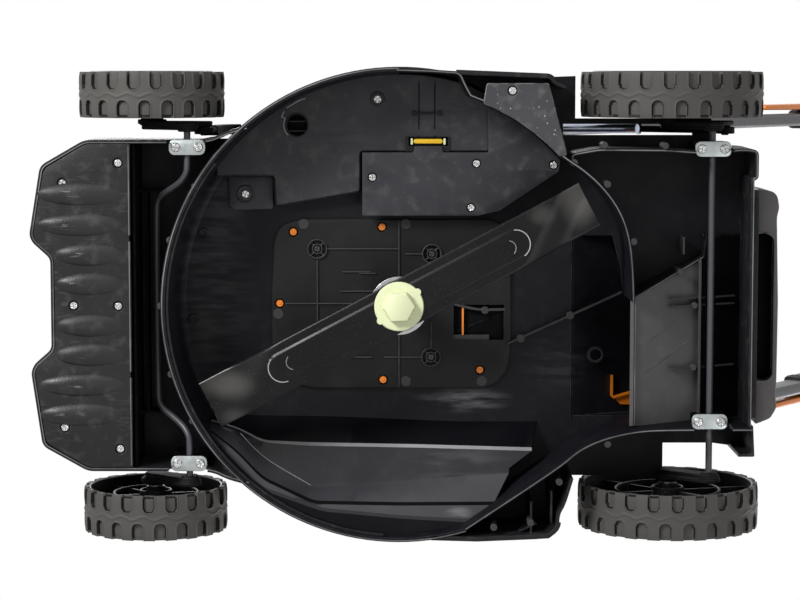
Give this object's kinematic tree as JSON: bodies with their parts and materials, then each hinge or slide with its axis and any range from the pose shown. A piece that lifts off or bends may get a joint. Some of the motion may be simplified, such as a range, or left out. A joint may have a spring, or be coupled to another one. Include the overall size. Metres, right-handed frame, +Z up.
{
  "type": "electric lawn mower",
  "caption": "Cordless rotary lawn mower with a plastic deck, rear discharge duct, adjustable wheels and a folding handle, open to view from below.",
  "frame": {"origin": "centre of the footprint on the ground, under the wheels at the lowest cutting height", "axes": "+Z up, +Y to the rear where the operator walks, +X to the operator's left hand as they face the front at -Y"},
  "size_m": [0.4394, 1.1028, 1.034],
  "materials": {
    "black_plastic": "satin moulded plastic, fine grain",
    "scuffed_plastic": "satin moulded plastic with wear from the ground",
    "grey_plastic": "matt moulded plastic",
    "tyre_plastic": "matt moulded plastic tread",
    "cap_plastic": "satin",
    "orange_plastic": "semi-gloss",
    "yellow_plastic": "semi-gloss",
    "ivory_nylon": "satin",
    "pack_plastic": "satin",
    "grip_foam": "matt foam",
    "circuit_board": "coated board",
    "zinc_plate": "zinc plated",
    "bright_steel": "bright",
    "black_rod": "black coated",
    "grey_tube": "dark satin coating",
    "painted_steel": "gloss black paint",
    "motor_winding": "copper wire"
  },
  "bodies": {
    "deck": {"axle_clamp_front_left": "zinc_plate", "axle_clamp_front_right": "zinc_plate", "axle_clamp_rear_left": "zinc_plate", "axle_clamp_rear_right": "zinc_plate", "battery_pack": "pack_plastic", "battery_tray": "black_plastic", "bearing_lower": "bright_steel", "bearing_upper": "bright_steel", "belly_cover": "black_plastic", "controller_board": "circuit_board", "corner_plate": "scuffed_plastic", "cover_latch": "yellow_plastic", "deck_shell": "black_plastic", "duct_trim": "orange_plastic", "flap_hinge_rod": "zinc_plate", "front_guard": "scuffed_plastic", "handle_bracket_left": "black_plastic", "handle_bracket_right": "black_plastic", "lever_quadrant": "black_plastic", "lid_hinge_pin": "bright_steel", "motor_can": "bright_steel", "motor_carrier": "black_plastic", "motor_stator": "motor_winding", "pivot_bolt_left": "zinc_plate", "pivot_bolt_right": "zinc_plate", "safety_key": "yellow_plastic", "top_cowl": "orange_plastic"},
    "rotor": {"motor_shaft": "bright_steel", "blade_holder": "zinc_plate", "blade": "painted_steel", "blade_bolt": "ivory_nylon"},
    "front_crank": {"front_axle": "black_rod"},
    "rear_crank": {"rear_axle": "black_rod"},
    "front_left_wheel": {"wheel_front_left": "tyre_plastic", "hub_cap_front_left": "cap_plastic"},
    "front_right_wheel": {"wheel_front_right": "tyre_plastic", "hub_cap_front_right": "cap_plastic"},
    "rear_left_wheel": {"wheel_rear_left": "tyre_plastic", "hub_cap_rear_left": "cap_plastic"},
    "rear_right_wheel": {"wheel_rear_right": "tyre_plastic", "hub_cap_rear_right": "cap_plastic"},
    "height_link": {"linkage_rod": "zinc_plate"},
    "lever": {"height_lever": "black_plastic", "lever_knob": "orange_plastic"},
    "lid": {"battery_cover": "black_plastic"},
    "flap": {"rear_flap": "grey_plastic"},
    "lower_handle": {"lower_tube_left": "grey_tube", "lower_tube_right": "grey_tube", "clamp_collar_left": "black_plastic", "clamp_collar_right": "black_plastic"},
    "handlebar": {"upper_handle": "grey_tube", "grip_left": "grip_foam", "grip_right": "grip_foam", "switch_box_top": "black_plastic", "switch_box_bottom": "black_plastic"},
    "left_cam": {"cam_lever_left": "orange_plastic"},
    "right_cam": {"cam_lever_right": "orange_plastic"},
    "bail": {"bail_lever": "orange_plastic"},
    "button": {"start_button": "orange_plastic"}
  },
  "joints": [
    {"name": "blade_spin", "type": "hinge", "parent": "deck", "child": "rotor", "pos_m": [0, -0.2123, 0.025], "axis": [0, 0, 1], "continuous": true},
    {"name": "rear_axle_swing", "type": "hinge", "parent": "deck", "child": "rear_crank", "pos_m": [0, 0.0787, 0.056], "axis": [1, 0, 0], "range_deg": [0, 81.2]},
    {"name": "front_axle_swing", "type": "hinge", "parent": "deck", "child": "front_crank", "pos_m": [0, -0.4073, 0.038], "axis": [1, 0, 0], "range_deg": [-0.1, 81.3]},
    {"name": "link_swing", "type": "hinge", "parent": "rear_crank", "child": "height_link", "pos_m": [0.1605, 0.0927, 0.076], "axis": [1, 0, 0], "range_deg": [-81.3, 0.1]},
    {"name": "lever_swing", "type": "hinge", "parent": "deck", "child": "lever", "pos_m": [0.1675, -0.1873, 0.122], "axis": [1, 0, 0], "range_deg": [-0.1, 81.3]},
    {"name": "lid_open", "type": "hinge", "parent": "deck", "child": "lid", "pos_m": [0, -0.2603, 0.245], "axis": [1, 0, 0], "range_deg": [0, 100]},
    {"name": "flap_lift", "type": "hinge", "parent": "deck", "child": "flap", "pos_m": [0, 0.1242, 0.184], "axis": [1, 0, 0], "range_deg": [0, 80], "stiffness_Nm_per_rad": 0.12, "springref_deg": -17.19},
    {"name": "handle_fold", "type": "hinge", "parent": "deck", "child": "lower_handle", "pos_m": [0, -0.0623, 0.215], "axis": [1, 0, 0], "range_deg": [0, 118]},
    {"name": "handle_slide", "type": "slide", "parent": "lower_handle", "child": "handlebar", "axis": [0, 0.5878, 0.809], "range_m": [-0.24, 0]},
    {"name": "left_cam_release", "type": "hinge", "parent": "lower_handle", "child": "left_cam", "pos_m": [0.1737, 0.28097, 0.68747], "axis": [0, -0.809, 0.5878], "range_deg": [0, 110]},
    {"name": "right_cam_release", "type": "hinge", "parent": "lower_handle", "child": "right_cam", "pos_m": [-0.1737, 0.28097, 0.68747], "axis": [0, 0.809, -0.5878], "range_deg": [0, 110]},
    {"name": "bail_squeeze", "type": "hinge", "parent": "handlebar", "child": "bail", "pos_m": [0, 0.43732, 0.90266], "axis": [-1, 0, 0], "range_deg": [0, 20], "stiffness_Nm_per_rad": 1.2, "springref_deg": -8.59},
    {"name": "start_press", "type": "slide", "parent": "handlebar", "child": "button", "axis": [0, -0.5878, -0.809], "range_m": [0, 0.004], "stiffness_N_per_m": 400, "springref_m": -0.002},
    {"name": "front_left_wheel_roll", "type": "hinge", "parent": "front_crank", "child": "front_left_wheel", "pos_m": [0.173, -0.4423, 0.068], "axis": [1, 0, 0], "continuous": true},
    {"name": "front_right_wheel_roll", "type": "hinge", "parent": "front_crank", "child": "front_right_wheel", "pos_m": [-0.173, -0.4423, 0.068], "axis": [1, 0, 0], "continuous": true},
    {"name": "rear_left_wheel_roll", "type": "hinge", "parent": "rear_crank", "child": "rear_left_wheel", "pos_m": [0.173, 0.0437, 0.086], "axis": [1, 0, 0], "continuous": true},
    {"name": "rear_right_wheel_roll", "type": "hinge", "parent": "rear_crank", "child": "rear_right_wheel", "pos_m": [-0.173, 0.0437, 0.086], "axis": [1, 0, 0], "continuous": true}
  ],
  "couplings": [
    {"joint": "front_axle_swing", "follows": "rear_axle_swing", "ratio": 1},
    {"joint": "link_swing", "follows": "rear_axle_swing", "ratio": -1},
    {"joint": "lever_swing", "follows": "rear_axle_swing", "ratio": 1}
  ]
}
